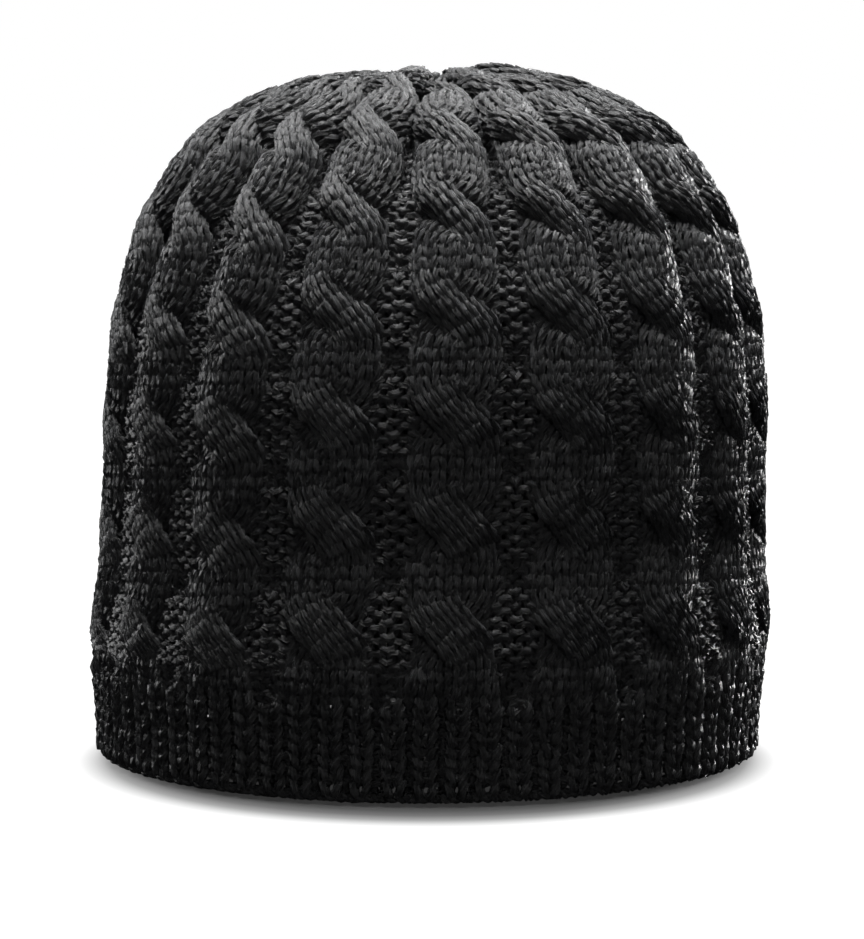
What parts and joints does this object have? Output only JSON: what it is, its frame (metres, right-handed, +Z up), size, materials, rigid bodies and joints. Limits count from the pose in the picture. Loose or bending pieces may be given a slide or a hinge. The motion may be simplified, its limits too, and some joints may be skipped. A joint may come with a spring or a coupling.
{
  "type": "cable-knit beanie",
  "caption": "Black pull-on knit beanie with rope cables between purl gutters, a ribbed hem and a drawn crown.",
  "frame": {"origin": "on the surface the rim rests on, in the middle of the beanie's bounding box", "axes": "+Z up to the crown, -Y to the front of the head, +X to the right as the front is viewed"},
  "size_m": [0.1768, 0.1946, 0.1789],
  "materials": {
    "hem_yarn": "black acrylic yarn in one-by-one rib, matt with a faint sheen along the fibres",
    "ground_yarn": "black acrylic yarn in reverse stocking stitch, matt",
    "cable_yarn": "black acrylic yarn in three-over-three rope cables, matt with a faint sheen along the fibres",
    "seam_yarn": "black yarn in a linked seam",
    "draw_yarn": "black plied yarn pulled tight",
    "label_tape": "off-white woven satin tape, blank",
    "sewing_thread": "black polyester sewing thread, slight sheen"
  },
  "bodies": {
    "beanie": {"rib_hem": "hem_yarn", "knit_body": "ground_yarn", "cable_01": "cable_yarn", "cable_02": "cable_yarn", "cable_03": "cable_yarn", "cable_04": "cable_yarn", "cable_05": "cable_yarn", "cable_06": "cable_yarn", "cable_07": "cable_yarn", "cable_08": "cable_yarn", "cable_09": "cable_yarn", "cable_10": "cable_yarn", "cable_11": "cable_yarn", "cable_12": "cable_yarn", "cable_13": "cable_yarn", "cable_14": "cable_yarn", "cable_15": "cable_yarn", "cable_16": "cable_yarn", "cable_17": "cable_yarn", "cable_18": "cable_yarn", "back_seam": "seam_yarn", "crown_draw_yarn": "draw_yarn", "crown_knot": "draw_yarn", "label_stitching": "sewing_thread"},
    "label": {"care_label": "label_tape"}
  },
  "joints": [
    {"name": "care_label_flip", "type": "hinge", "parent": "beanie", "child": "label", "pos_m": [0, 0.08414, 0.044], "axis": [-1, 0, 0], "range_deg": [0, 80]}
  ]
}
